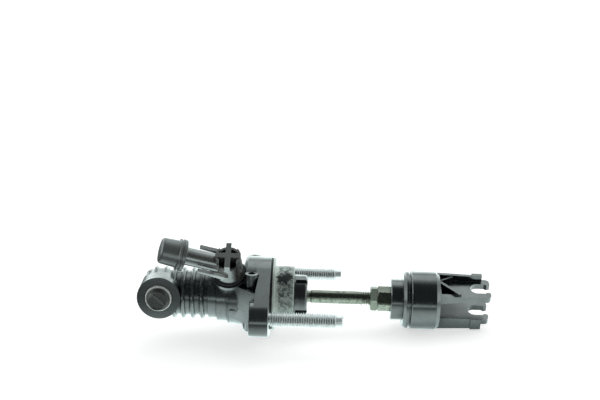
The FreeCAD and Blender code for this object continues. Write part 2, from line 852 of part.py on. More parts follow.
def clevis_sleeve():
    """Stepped sleeve: head round the insert, bevelled ring, waist and a foot that lines the cup."""
    ring_x0 = sleeve_x1 - sleeve_bevel
    waist_r = ring_r - ring_waist
    foot_in_r = sleeve_foot_r - sleeve_wall
    grip = hex_face + grip_step
    pts = [(hex_face, hex_shank_r), (hex_face, sleeve_r - sleeve_bevel), (hex_face + sleeve_bevel, sleeve_r)]
    pts += [(sleeve_x1 - sleeve_fillet, sleeve_r), (ring_x0, ring_r - ring_slope)]
    pts += [(ring_x0 + sleeve_wall * 0.75, ring_r), (ring_x1, ring_r), (ring_x1, waist_r), (cup_x0, waist_r)]
    pts += [(cup_x0, sleeve_foot_r), (sleeve_foot, sleeve_foot_r), (sleeve_foot, foot_in_r)]
    pts += [(hex_x1, foot_in_r), (hex_x1, sleeve_bore_r), (grip, sleeve_bore_r), (grip, hex_shank_r)]
    return spin(pts)


def clevis_cup():
    pts = [(cup_x0, sleeve_foot_r), (cup_x0, cup_r - cup_lip), (cup_x0 + cup_lip, cup_r), (cup_x1, cup_r)]
    pts += [(cup_x1 + cup_bevel, cup_r - cup_bevel_in), (cup_x1 + cup_bevel, 0), (cup_floor_x, 0)]
    pts += [(cup_floor_x, sleeve_foot_r)]
    return spin(pts)


def clevis_arm():
    """One arm in its own frame: plate normal to +Z, rim along the -Y edge."""
    x_root = cup_x1 + arm_root
    rim_in = -arm_half + rim_t
    plate = box(x_root, arm_x1, -arm_half, arm_half, arm_in, arm_out)
    corners = [e for e in plate.Edges if abs(e.BoundBox.XMin - arm_x1) < 1e-6
               and e.BoundBox.ZMax - e.BoundBox.ZMin > 1.0]
    plate = plate.makeFillet(arm_tip_r, corners)
    rim_pts = [vec(x_root, -arm_half, arm_in), vec(x_root, -arm_half, rim_root)]
    rim_pts += [vec(rim_x1, -arm_half, arm_rim - rim_drop), vec(rim_x1, -arm_half, arm_in)]
    rim = prism(rim_pts, ORIGIN, Y_AXIS, rim_t)
    stop = box(stop_x0, rim_x1, -arm_half - stop_h, rim_in, arm_in, arm_rim + stop_h)
    root = box(x_root, x_root + arm_root_l, -arm_half, arm_half, arm_in, rim_root - arm_root_drop)
    web = prism([vec(x_root, 0, arm_in + bury / 2), vec(x_root, 0, arm_in - web_h),
                 vec(x_root + web_l, 0, arm_in + bury / 2)], vec(0, arm_half - web_t, 0), Y_AXIS, web_t)
    arm = fuse([plate, rim, stop, root, web])
    floor = vec(x_root + arm_root_l, 0, arm_in + pocket_floor)
    pocket = prism([vec(0, pocket_y0, 0), vec(0, pocket_y1, 0), vec(pocket_l, pocket_y1, 0)],
                   floor, Z_AXIS, cup_r)
    notch = prism([vec(0, notch_y, 0), vec(notch_l, rim_in, 0), vec(0, rim_in, 0)], floor, Z_AXIS, cup_r)
    return arm.cut([pocket, notch]).fuse(arm_braces(x_root)).cut(pin_slot())


def arm_braces(x_root):
    """Two ribs that part from the cup like an arrow head, one to the rim and one to the open edge."""
    apex = vec(x_root + brace_apex, brace_apex_y, 0)
    to_rim = vec(x_root + brace_rim_l, -arm_half + rim_t, 0)
    to_edge = vec(x_root + brace_edge_l, arm_half - brace_edge_in, 0)
    low = vec(0, 0, arm_in + bury / 2)
    crest = vec(0, 0, arm_out + brace_h)
    braces = []
    for end, top in ((to_rim, arm_rim), (to_edge, arm_out + brace_h)):
        side = Z_AXIS.cross(end - apex)
        side.normalize()
        pts = [apex + low, apex + crest, end + vec(0, 0, top), end + low]
        braces.append(prism(pts, side * -brace_t / 2, side, brace_t))
    return braces


def pin_slot():
    """Round seat for the pedal pin, its straight throat and the lips it snaps past."""
    seat = Part.makeCylinder(slot_r, cup_r, vec(slot_x, 0, 0), Z_AXIS)
    neck = mouth_x - lead_l
    end = arm_x1 + past
    throat = box(slot_x, neck, -slot_r, slot_r, 0, cup_r)
    lips = prism([vec(neck, -slot_r, 0), vec(mouth_x, -mouth_half, 0), vec(end, -slot_r, 0),
                  vec(end, slot_r, 0), vec(mouth_x, mouth_half, 0), vec(neck, slot_r, 0)],
                 ORIGIN, Z_AXIS, cup_r)
    return [seat, throat, lips]


def clevis_fork():
    arm_a = mirrored(clevis_arm())
    arm_b = arm_a.copy()
    arm_b.rotate(ORIGIN, X_AXIS, 180)
    arms = fuse([arm_a, arm_b])
    arms.rotate(ORIGIN, X_AXIS, 90.0 - clevis_lean)
    limit = rod_x(cup_r, cup_x1, arm_x1 + past)
    return clevis_cup().fuse(arms.common(limit))


def return_spring():
    x0 = bore_end + wire_r + coil_gap
    x1 = spring_seat_x - wire_r - coil_gap
    pitch = (x1 - x0) / spring_turns
    helix = Part.makeHelix(pitch, x1 - x0, spring_r)
    start = vec(spring_r, 0, 0)
    ring = []
    for k in range(wire_sides):
        a = 2 * math.pi * k / wire_sides
        ring.append(start + vec(wire_r * math.cos(a), 0, wire_r * math.sin(a)))
    section = Part.makePolygon(ring + [ring[0]])
    coil = Part.Wire(helix.Edges).makePipeShell([section], True, True)
    coil.rotate(ORIGIN, Y_AXIS, 90)
    coil.translate(vec(x0, 0, 0))
    return coil


def main():
    os.makedirs("parts", exist_ok=True)
    save(cylinder_body(), "cylinder_body")
    save(outlet_insert(), "outlet_insert")
    save(outlet_plug(), "outlet_plug")
    save(inlet_elbow(), "inlet_elbow")
    save(inlet_grommet(), "inlet_grommet")
    save(inlet_cap(), "inlet_cap")
    save(flange_gasket(), "flange_gasket")
    save(guide_collar(), "guide_collar")
    save(collar_o_ring(), "collar_o_ring")
    save(stop_washer(), "stop_washer")
    save(snap_ring(), "snap_ring")
    save(rod_guide_cap(), "rod_guide_cap")
    save(roll_pins(), "roll_pins")
    save(stud(1), "stud_far")
    save(stud(-1), "stud_near")
    save(cup_seal(primary_x0, primary_x1), "primary_cup")
    save(cup_seal(secondary_x0, pocket_end), "secondary_cup")
    save(seal_spacer(), "seal_spacer")
    save(plunger(), "plunger")
    save(ball_retainer(), "ball_retainer")
    save(ball_seat(), "ball_seat")
    save(return_spring(), "return_spring")
    save(pushrod(), "pushrod")
    save(lock_nut(), "lock_nut")
    save(adjuster_hex(), "adjuster_hex")
    save(clevis_sleeve(), "clevis_sleeve")
    save(clevis_fork(), "clevis_fork")


main()
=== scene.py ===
import json
import math

import bmesh
import bpy
from mathutils import Matrix, Vector


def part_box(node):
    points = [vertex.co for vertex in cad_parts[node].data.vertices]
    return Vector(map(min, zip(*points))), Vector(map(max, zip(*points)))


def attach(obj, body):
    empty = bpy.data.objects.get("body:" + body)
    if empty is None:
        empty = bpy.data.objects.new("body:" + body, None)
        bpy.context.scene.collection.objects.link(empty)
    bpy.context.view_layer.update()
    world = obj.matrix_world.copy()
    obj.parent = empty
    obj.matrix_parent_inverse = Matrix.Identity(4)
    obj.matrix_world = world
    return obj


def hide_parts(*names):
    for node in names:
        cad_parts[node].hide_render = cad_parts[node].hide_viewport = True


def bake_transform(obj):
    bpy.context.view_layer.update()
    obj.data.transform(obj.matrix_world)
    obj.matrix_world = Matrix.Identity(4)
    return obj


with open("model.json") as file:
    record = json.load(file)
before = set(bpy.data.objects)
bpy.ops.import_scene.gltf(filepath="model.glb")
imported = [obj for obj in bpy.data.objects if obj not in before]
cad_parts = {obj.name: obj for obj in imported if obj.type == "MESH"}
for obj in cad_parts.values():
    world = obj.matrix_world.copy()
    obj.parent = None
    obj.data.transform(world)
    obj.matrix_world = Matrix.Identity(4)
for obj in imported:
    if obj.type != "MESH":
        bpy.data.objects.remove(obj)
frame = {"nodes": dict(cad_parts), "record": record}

# Clutch master cylinder lying on a white studio floor. Lengths are in metres, in the part's own frame:
# +X runs along the bore to the pedal clevis, +Z is up and -Y faces the outlet.

MM = 0.001
FULL_TURN = 2 * math.pi
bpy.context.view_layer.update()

# Camera, as the photograph was taken
CAMERA_TURN = math.radians(0.75)
CAMERA_RISE = math.radians(15.71)
CAMERA_ROLL = math.radians(1.62)
CAMERA_LENS = 66.69
CAMERA_SENSOR = 36.0
CAMERA_PLACE = Vector((21.80, -571.97, 215.49)) * MM

# Where the part touches the floor: the hub's lower edge and the far end of the clevis cup
HUB_FACE_X = 0.0
CUP_END_X = 89.2 * MM
FLOOR_HALF = 3.0

# Paper of the floor: its colour where it is painted lit and where it is painted dim, the glow that the camera sees
# it give, and what gloss sees it give on top of that, tinted as the lamps are
PAPER_WHITE = (0.89, 0.8, 0.805)
PAPER_DIM = (0.12, 0.12, 0.12)
PAPER_TINT = (0.78, 1.0, 0.98)
PAPER_GLOW = 0.55
PAPER_SHINE = 0.85

# The paper is painted lit behind and to the right of the first pair, and painted dim in front and to the left of
# the second
PAPER_LIT_X = -0.06
PAPER_LIT_Y = -0.01
PAPER_DIM_X = -0.13
PAPER_DIM_Y = -0.09

# Painted band of light that lies on the paper in front of the part, where the camera doesn't show it apart from
# the paper:
# where it begins, where it is fully there, and its share of the paper's light
LIT_BAND_NEAR_Y = -0.125
LIT_BAND_FAR_Y = -0.15
LIT_BAND_SHARE = 0.8

# Plain white for the camera, the daylight white of the lamps and of the tent, and where the lamps point
WHITE = (1, 1, 1)
COOL_WHITE = (0.88, 1.0, 0.99)
LAMP_AIM = (0.02, 0, 0)

# Light tent: a bright wall and a greyer roof, whose front edge runs a little behind the zenith and further forward
# at both sides, and the dark room in front of it. Heights and edges are parts of a unit direction.
TENT_WALL_LEVEL = 1.9
TENT_ROOF_LEVEL = 0.62
TENT_WALL_Z = 0.42
TENT_WALL_BLUR = 0.2
ROOM_LEVEL = 0.05
TENT_EDGE = 0.14
TENT_BLUR = 0.05
TENT_WRAP = 1.0

# Threads: a metric coarse profile, whose points are shares of the pitch and of the depth
THREAD_PITCH = 1.25 * MM
THREAD_DEPTH = 0.77 * MM
THREAD_SHAPE = ((0.0, 0.0), (0.25, 0.0), (0.5625, 1.0), (0.6875, 1.0))

STUD_R = 3.98 * MM
STUD_ROOT_R = 4.6 * MM
STUD_POINT_R = 3.1 * MM
STUD_POINT_L = 3.2 * MM
STUD_BEVEL = 0.7 * MM
STUD_EDGE = 0.5 * MM
STUD_RELIEF = 0.9 * MM

ROD_BALL_R = 4.0 * MM
ROD_BALL_X = 0.8 * MM
ROD_BALL_STEPS = 20
ROD_NECK_R = 2.5 * MM
ROD_NECK_END = 5.6 * MM
ROD_R = 3.55 * MM
ROD_WAIST_X = 21.0 * MM
ROD_WAIST_R = 3.1 * MM
ROD_WAIST_W = 1.2 * MM
ROD_THREAD_X = 49.4 * MM
ROD_THREAD_R = 3.85 * MM
ROD_BEVEL = 0.7 * MM

PLUG_R = 5.12 * MM
PLUG_CREST_R = 5.35 * MM
PLUG_ROOT_R = 4.8 * MM
PLUG_HEAD_L = 1.3 * MM
PLUG_RIM = 0.55 * MM
PLUG_DISH = 0.7 * MM
PLUG_EDGE = 0.15 * MM
PLUG_BAR_W = 2.6 * MM
PLUG_BAR_WALL = PLUG_BAR_W / 3.4
PLUG_BAR_EDGE = 0.12 * MM
PLUG_BAR_TURN = math.radians(41.0)

INSERT_R = 7.1 * MM
INSERT_BORE_R = 5.45 * MM
INSERT_LIP = 0.55 * MM
INSERT_LIP_EDGE = 0.04 * MM
INSERT_LIP_ROUND = INSERT_LIP * 0.3
INSERT_FLOOR = 1.2 * MM

HEX_FLATS = 11.9 * MM
HEX_TURN = math.radians(38.3)
HEX_DROP = 0.55 * MM
HEX_SHANK_R = 5.6 * MM
HEX_FACE = 65.0 * MM
HEX_LAP = 1.0 * MM

SPRING_WIRE_R = 0.6 * MM
SPRING_WIRE_SIDES = 12
SPRING_TURNS = 8
SPRING_STEPS = 40

# Inlet elbow's leaning axis, and its side pipe, whose axis leaves the elbow's at PIPE_BASE
INLET_X = -22.3 * MM
INLET_LEAN = math.radians(55.0)
PIPE_RISE = math.radians(19.0)
PIPE_BASE = 26.0 * MM

# Transit cap, measured along the side pipe
CAP_START = 24.2 * MM
CAP_L = 13.8 * MM
CAP_MOUTH_R = 4.85 * MM
CAP_BORE_R = 5.4 * MM
CAP_WALL = 1.3 * MM
CAP_RING_R = 8.4 * MM
CAP_RING_L = 3.8 * MM
CAP_GROOVE_X = 1.9 * MM
CAP_GROOVE_W = 0.8 * MM
CAP_GROOVE_D = 0.7 * MM
CAP_ROOT_R = 7.25 * MM
CAP_TIP_R = 6.85 * MM
CAP_CORNER = 1.5 * MM
CAP_CORNER_STEPS = 8
CAP_CROWN = 0.5 * MM
CAP_EDGE = 0.3 * MM

# Points of a mesh nearer than this are one, and an edge that bends more than this is sharp
MERGE_GAP = 0.001 * MM
SHARP_BEND = math.radians(32)


# Studio

def photo_camera():
    """Camera at the photograph's angle, with its small roll."""
    back = Vector((math.sin(CAMERA_TURN) * math.cos(CAMERA_RISE),
                   -math.cos(CAMERA_TURN) * math.cos(CAMERA_RISE), math.sin(CAMERA_RISE)))
    right = Vector((math.cos(CAMERA_TURN), math.sin(CAMERA_TURN), 0))
    up = back.cross(right)
    rolled_right = right * math.cos(CAMERA_ROLL) + up * math.sin(CAMERA_ROLL)
    rolled_up = up * math.cos(CAMERA_ROLL) - right * math.sin(CAMERA_ROLL)
    data = bpy.data.cameras.new("photo_camera")
    data.lens = CAMERA_LENS
    data.sensor_width = CAMERA_SENSOR
    camera = bpy.data.objects.new("photo_camera", data)
    place = Matrix((rolled_right, rolled_up, back)).transposed().to_4x4()
    place.translation = CAMERA_PLACE
    camera.matrix_world = place
    bpy.context.scene.collection.objects.link(camera)
    bpy.context.scene.camera = camera


def studio_floor():
    """Pale floor under the part's two points of contact, a little tilted in the part's frame."""
    hub_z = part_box("cylinder_body")[0].z
    cup_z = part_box("clevis_fork")[0].z
    tilt = math.atan2(cup_z - hub_z, CUP_END_X - HUB_FACE_X)
    bm = bmesh.new()
    bmesh.ops.create_grid(bm, x_segments=1, y_segments=1, size=FLOOR_HALF)
    bmesh.ops.rotate(bm, verts=bm.verts, matrix=Matrix.Rotation(-tilt, 3, "Y"))
    bmesh.ops.translate(bm, verts=bm.verts, vec=(HUB_FACE_X, 0, hub_z))
    mesh = bpy.data.meshes.new("studio_floor")
    bm.to_mesh(mesh)
    bm.free()
    floor = bpy.data.objects.new("studio_floor", mesh)
    bpy.context.scene.collection.objects.link(floor)
    floor.data.materials.append(floor_paper())


def soft_lamp(name, place, width, height, power, mirrored=True):
    """Rectangular softbox that points at the part; gloss shows it only where it is mirrored."""
    data = bpy.data.lights.new(name, "AREA")
    data.shape = "RECTANGLE"
    data.size = width
    data.size_y = height
    data.energy = power
    data.color = COOL_WHITE
    lamp = bpy.data.objects.new(name, data)
    lamp.location = place
    lamp.rotation_euler = (Vector(LAMP_AIM) - Vector(place)).to_track_quat("-Z", "Y").to_euler()
    lamp.visible_glossy = mirrored
    bpy.context.scene.collection.objects.link(lamp)


def studio_world():
    """White tent from the back horizon nearly up to the zenith and round both sides, dark room in front of it.

    The camera sees plain white wherever it looks past the floor."""
    world = bpy.data.worlds.new("studio_world")
    world.use_nodes = True
    tree = world.node_tree
    tree.nodes.clear()
    ray = add_node(tree, "ShaderNodeTexCoord").outputs["Generated"]
    split = add_node(tree, "ShaderNodeSeparateXYZ", Vector=ray)
    side = math_node(tree, "ABSOLUTE", split.outputs["X"], 0.0)
    behind = math_node(tree, "ADD", split.outputs["Y"], math_node(tree, "MULTIPLY", side, TENT_WRAP))
    tent = ramp_value(tree, behind, TENT_EDGE - TENT_BLUR, TENT_EDGE + TENT_BLUR)
    height = ramp_value(tree, split.outputs["Z"], TENT_WALL_Z - TENT_WALL_BLUR, TENT_WALL_Z + TENT_WALL_BLUR)
    level = mix_value(tree, tent, ROOM_LEVEL, mix_value(tree, height, TENT_WALL_LEVEL, TENT_ROOF_LEVEL))
    path = add_node(tree, "ShaderNodeLightPath")
    seen = math_node(tree, "MAXIMUM", path.outputs["Is Camera Ray"], path.outputs["Is Transmission Ray"])
    shade = add_node(tree, "ShaderNodeBackground", Strength=mix_value(tree, seen, level, 1.0))
    join(tree, mix_colour(tree, seen, COOL_WHITE, WHITE), shade.inputs["Color"])
    output = add_node(tree, "ShaderNodeOutputWorld")
    join(tree, shade.outputs["Background"], output.inputs["Surface"])
    bpy.context.scene.world = world


def floor_paper():
    """Matt white paper that the camera sees evenly lit; for other rays painted shade dims it towards the dark room
    in front and to the left, and a painted band of light brightens it again further in front."""
    mat = bpy.data.materials.new("floor_paper")
    mat.use_nodes = True
    tree = mat.node_tree
    tree.nodes.clear()
    path = add_node(tree, "ShaderNodeLightPath")
    place = add_node(tree, "ShaderNodeTexCoord").outputs["Object"]
    split = add_node(tree, "ShaderNodeSeparateXYZ", Vector=place)
    # Painted light on the paper for all but camera rays: lit fades towards the front and the left, and comes back
    # in the band in front
    paper_y = ramp_value(tree, split.outputs["Y"], PAPER_DIM_Y, PAPER_LIT_Y)
    lit_band_y = ramp_value(tree, split.outputs["Y"], LIT_BAND_NEAR_Y, LIT_BAND_FAR_Y)
    lit_y = math_node(tree, "MAXIMUM", paper_y, math_node(tree, "MULTIPLY", lit_band_y, LIT_BAND_SHARE))
    lit_x = ramp_value(tree, split.outputs["X"], PAPER_DIM_X, PAPER_LIT_X)
    lit = math_node(tree, "MULTIPLY", lit_y, lit_x)
    lit = math_node(tree, "MAXIMUM", lit, path.outputs["Is Camera Ray"])
    paper = add_node(tree, "ShaderNodeBsdfDiffuse")
    join(tree, mix_colour(tree, lit, PAPER_DIM, PAPER_WHITE), paper.inputs["Color"])
    seen = math_node(tree, "MAXIMUM", path.outputs["Is Camera Ray"], path.outputs["Is Glossy Ray"])
    seen = math_node(tree, "MAXIMUM", seen, path.outputs["Is Transmission Ray"])
    shine = math_node(tree, "MULTIPLY", path.outputs["Is Glossy Ray"], PAPER_SHINE)
    level = math_node(tree, "ADD", math_node(tree, "MULTIPLY", seen, PAPER_GLOW), shine)
    glow = add_node(tree, "ShaderNodeEmission", Strength=math_node(tree, "MULTIPLY", lit, level))
    join(tree, mix_colour(tree, path.outputs["Is Camera Ray"], PAPER_TINT, WHITE), glow.inputs["Color"])
    both = add_node(tree, "ShaderNodeAddShader")
    join(tree, paper.outputs["BSDF"], both.inputs[0])
    join(tree, glow.outputs["Emission"], both.inputs[1])
    output = add_node(tree, "ShaderNodeOutputMaterial")
    join(tree, both.outputs["Shader"], output.inputs["Surface"])
    return mat


# Node helpers

def join(tree, source, target):
    """Link a socket, or set the target's own value where the source is a plain number or colour."""
    if isinstance(source, bpy.types.NodeSocket):
        tree.links.new(source, target)
    else:
        target.default_value = source


def add_node(tree, kind, **inputs):
    node = tree.nodes.new(kind)
    for name, source in inputs.items():
        join(tree, source, node.inputs[name])
    return node


def math_node(tree, operation, a, b):
    node = tree.nodes.new("ShaderNodeMath")
    node.operation = operation
    join(tree, a, node.inputs[0])
    join(tree, b, node.inputs[1])
    return node.outputs["Value"]


def vector_node(tree, operation, a, b):
    """Dot product of two vectors, or the distance between them."""
    node = tree.nodes.new("ShaderNodeVectorMath")
    node.operation = operation
    join(tree, a, node.inputs[0])
    join(tree, b, node.inputs[1])
    return node.outputs["Value"]


def ramp_value(tree, source, low, high):
    """0 on low's side, 1 on high's and smooth between; low may be the larger."""
    node = tree.nodes.new("ShaderNodeMapRange")
    node.interpolation_type = "SMOOTHSTEP"
    join(tree, source, node.inputs["Value"])
    join(tree, low, node.inputs["From Min"])
    join(tree, high, node.inputs["From Max"])
    return node.outputs["Result"]


def mix_colour(tree, factor, a, b):
    node = tree.nodes.new("ShaderNodeMix")
    node.data_type = "RGBA"
    join(tree, factor, node.inputs[0])
    join(tree, a if isinstance(a, bpy.types.NodeSocket) else (*a, 1), node.inputs[6])
    join(tree, b if isinstance(b, bpy.types.NodeSocket) else (*b, 1), node.inputs[7])
    return node.outputs[2]


def mix_value(tree, factor, a, b):
    node = tree.nodes.new("ShaderNodeMix")
    join(tree, factor, node.inputs[0])
    join(tree, a, node.inputs[2])
    join(tree, b, node.inputs[3])
    return node.outputs[0]


def new_group(name, inputs, outputs):
    tree = bpy.data.node_groups.new(name, "ShaderNodeTree")
    for label, kind in inputs:
        tree.interface.new_socket(label, in_out="INPUT", socket_type=kind)
    for label, kind in outputs:
        tree.interface.new_socket(label, in_out="OUTPUT", socket_type=kind)
    return tree, tree.nodes.new("NodeGroupInput"), tree.nodes.new("NodeGroupOutput")


def use_group(tree, group, **inputs):
    node = tree.nodes.new("ShaderNodeGroup")
    node.node_tree = group
    for name, source in inputs.items():
        join(tree, source, node.inputs[name])
    return node


# Effects that several finishes share

# Bend between a face and its eased normal at which an edge begins to show, and shows fully
EDGE_BEND_LOW = 0.01
EDGE_BEND_HIGH = 0.2
EDGE_SAMPLES = 6

# Flecks and flow marks of a moulding: cells to the metre, and the band of the noise in which they come up
FLECK_CELLS = 2600.0
FLECK_BAND = (0.5, 0.72)
FLOW_CELLS = 90.0
FLOW_BAND = (0.35, 0.7)

# How softly a stain ends, how many times finer the specks are, and their band of the noise
STAIN_BLUR = 0.12
SPECK_FINENESS = 9.0
SPECK_BAND = (0.56, 0.68)

RECESS_SAMPLES = 8


def eased_edge_group():
    """Catches light along sharp edges, as a small radius does, and marks the edge itself."""
    tree, given, result = new_group("eased_edge", [("Radius", "NodeSocketFloat")],
                                    [("Normal", "NodeSocketVector"), ("Edge", "NodeSocketFloat")])
    bevel = add_node(tree, "ShaderNodeBevel", Radius=given.outputs["Radius"])
    bevel.samples = EDGE_SAMPLES
    flat = add_node(tree, "ShaderNodeNewGeometry").outputs["Normal"]
    bent = math_node(tree, "SUBTRACT", 1.0, vector_node(tree, "DOT_PRODUCT", bevel.outputs["Normal"], flat))
    join(tree, ramp_value(tree, bent, EDGE_BEND_LOW, EDGE_BEND_HIGH), result.inputs["Edge"])
    join(tree, bevel.outputs["Normal"], result.inputs["Normal"])
    return tree


def moulded_grain_group():
    """Glass fibre flecks and faint flow marks of a filled moulding."""
    tree, given, result = new_group("moulded_grain",
                                    [("Place", "NodeSocketVector"), ("Scale", "NodeSocketFloat")],
                                    [("Fleck", "NodeSocketFloat"), ("Flow", "NodeSocketFloat"),
                                     ("Height", "NodeSocketFloat")])
    place = given.outputs["Place"]
    scale = given.outputs["Scale"]
    fine = add_node(tree, "ShaderNodeTexNoise", Vector=place, Detail=3.0,
                    Scale=math_node(tree, "MULTIPLY", scale, FLECK_CELLS))
    flow = add_node(tree, "ShaderNodeTexNoise", Vector=place, Detail=5.0, Distortion=1.2,
                    Scale=math_node(tree, "MULTIPLY", scale, FLOW_CELLS))
    join(tree, ramp_value(tree, fine.outputs["Fac"], *FLECK_BAND), result.inputs["Fleck"])
    join(tree, ramp_value(tree, flow.outputs["Fac"], *FLOW_BAND), result.inputs["Flow"])
    join(tree, fine.outputs["Fac"], result.inputs["Height"])
    return tree


def turned_marks_group():
    """Fine rings that a lathe tool leaves round the X axis."""
    tree, given, result = new_group("turned_marks",
                                    [("Place", "NodeSocketVector"), ("Pitch", "NodeSocketFloat")],
                                    [("Ring", "NodeSocketFloat")])
    split = add_node(tree, "ShaderNodeSeparateXYZ", Vector=given.outputs["Place"])
    along = math_node(tree, "DIVIDE", split.outputs["X"], given.outputs["Pitch"])
    noise = tree.nodes.new("ShaderNodeTexNoise")
    noise.noise_dimensions = "1D"
    join(tree, along, noise.inputs["W"])
    join(tree, 1.0, noise.inputs["Scale"])
    join(tree, 2.0, noise.inputs["Detail"])
    join(tree, noise.outputs["Fac"], result.inputs["Ring"])
    return tree


def blotch_group():
    """Uneven stains: soft clouds broken by small specks."""
    tree, given, result = new_group("blotches",
                                    [("Place", "NodeSocketVector"), ("Size", "NodeSocketFloat"),
                                     ("Amount", "NodeSocketFloat")],
                                    [("Stain", "NodeSocketFloat"), ("Speck", "NodeSocketFloat")])
    place = given.outputs["Place"]
    scale = math_node(tree, "DIVIDE", 1.0, given.outputs["Size"])
    cloud = add_node(tree, "ShaderNodeTexNoise", Vector=place, Scale=scale, Detail=6.0, Roughness=0.62,
                     Distortion=0.8)
    low = math_node(tree, "SUBTRACT", 1.0, given.outputs["Amount"])
    over = math_node(tree, "SUBTRACT", cloud.outputs["Fac"], low)
    join(tree, ramp_value(tree, over, -STAIN_BLUR, STAIN_BLUR), result.inputs["Stain"])
    speck = add_node(tree, "ShaderNodeTexNoise", Vector=place, Detail=2.0,
                     Scale=math_node(tree, "MULTIPLY", scale, SPECK_FINENESS))
    join(tree, ramp_value(tree, speck.outputs["Fac"], *SPECK_BAND), result.inputs["Speck"])
    return tree


def recess_group():
    """Marks what lies deep in a corner or a slot: 0 below the share Low that is hidden, 1 above High."""
    tree, given, result = new_group("recess",
                                    [("Reach", "NodeSocketFloat"), ("Low", "NodeSocketFloat"),
                                     ("High", "NodeSocketFloat")],
                                    [("Deep", "NodeSocketFloat")])
    around = add_node(tree, "ShaderNodeAmbientOcclusion", Distance=given.outputs["Reach"])
    around.samples = RECESS_SAMPLES
    hidden = math_node(tree, "SUBTRACT", 1.0, around.outputs["AO"])
    join(tree, ramp_value(tree, hidden, given.outputs["Low"], given.outputs["High"]), result.inputs["Deep"])
    return tree


eased_edge = eased_edge_group()
moulded_grain = moulded_grain_group()
turned_marks = turned_marks_group()
blotches = blotch_group()
recess = recess_group()


# Finishes

# Black mouldings: the glossy skin that the tool leaves, which clouds a little, their eased edges, the relief of
# their fibres, and the share of their colour that is left under the painted shade deep in a corner
SKIN_IOR = 1.95
SKIN_CLOUDED = 0.8
NYLON_CLOUDING = 0.1
NYLON_EDGE = 0.3 * MM
NYLON_RELIEF = 0.03 * MM
NYLON_CORNER_SHADE = 0.2

# Painted highlight on the elbow's leg, a pale patch where light falls: its colour and strength, its middle, its
# radius, and the shares of the radius between which it fades
LEG_HIGHLIGHT = (0.5, 0.5, 0.47)
LEG_HIGHLIGHT_STRENGTH = 0.8
LEG_HIGHLIGHT_PLACE = Vector((-26.0, -23.5, 18.5)) * MM
LEG_HIGHLIGHT_R = 5.5 * MM
LEG_HIGHLIGHT_GONE = 1.3
LEG_HIGHLIGHT_FULL = 0.5

# Turned steel: the pitch and depth of the tool's rings, the eased edges and the painted glint that makes them
# paler, and the size of the stains and how much duller they are
RING_PITCH = 0.25 * MM
RING_RELIEF = 0.02 * MM
STEEL_EDGE = 0.12 * MM
STEEL_GLINT = 1.25
STEEL_STAIN = 2.2 * MM
STAIN_DULLING = 0.14

# Painted shade in the studs' thread roots, strongest on a strip that faces the front: how deep it lies, the middle
# and the half width of that strip, and its share elsewhere
ROOT_SHADE_REACH = 1.0 * MM
ROOT_SHADE_LOW = 0.3
ROOT_SHADE_HIGH = 0.5
ROOT_SHADE_RISE = math.radians(17.0)
ROOT_SHADE_SPREAD = math.radians(36.0)
ROOT_SHADE_ELSEWHERE = 0.08

# Collar's casting: its frost, its stains, its specks, and its painted highlights on its left part and its edges
FROST = (0.5, 0.53, 0.5)
FROST_STAIN = (0.33, 0.355, 0.33)
FROST_CLOUD = (0.13, 0.14, 0.13)
FROST_HIGHLIGHT = (0.75, 0.77, 0.72)
FROST_SPECK = (0.7, 0.73, 0.68)
FROST_EDGE_HIGHLIGHT = (0.8, 0.82, 0.78)
FROST_METALLIC = 0.42

# Burn mark on the collar: its colour, that of the run below it, its middle and its radius. How ragged its edge is,
# where it is full, how wide the run is, and where the painted highlight beside it begins and is full are shares of
# the radius.
BURN = (0.006, 0.0065, 0.0065)
BURN_RUN = (0.03, 0.032, 0.03)
BURN_PLACE = Vector((7.4, -9.2, 13.2)) * MM
BURN_R = 6.2 * MM
BURN_RAGGED = 0.4
BURN_FULL = 0.6
RUN_GONE = 0.8
RUN_FULL = 0.35
HIGHLIGHT_FROM = 0.35
HIGHLIGHT_FULL = 0.65


def blank_finish(name):
    mat = bpy.data.materials.new(name)
    mat.use_nodes = True
    tree = mat.node_tree
    tree.nodes.clear()
    shader = tree.nodes.new("ShaderNodeBsdfPrincipled")
    output = tree.nodes.new("ShaderNodeOutputMaterial")
    tree.links.new(shader.outputs["BSDF"], output.inputs["Surface"])
    place = tree.nodes.new("ShaderNodeTexCoord").outputs["Object"]
    return mat, tree, shader, place


def relief(tree, shader, height, distance, strength, normal):
    """Raise a fine height on an eased normal, and give both to the shader."""
    bump = add_node(tree, "ShaderNodeBump", Height=height, Distance=distance, Strength=strength, Normal=normal)
    join(tree, bump.outputs["Normal"], shader.inputs["Normal"])


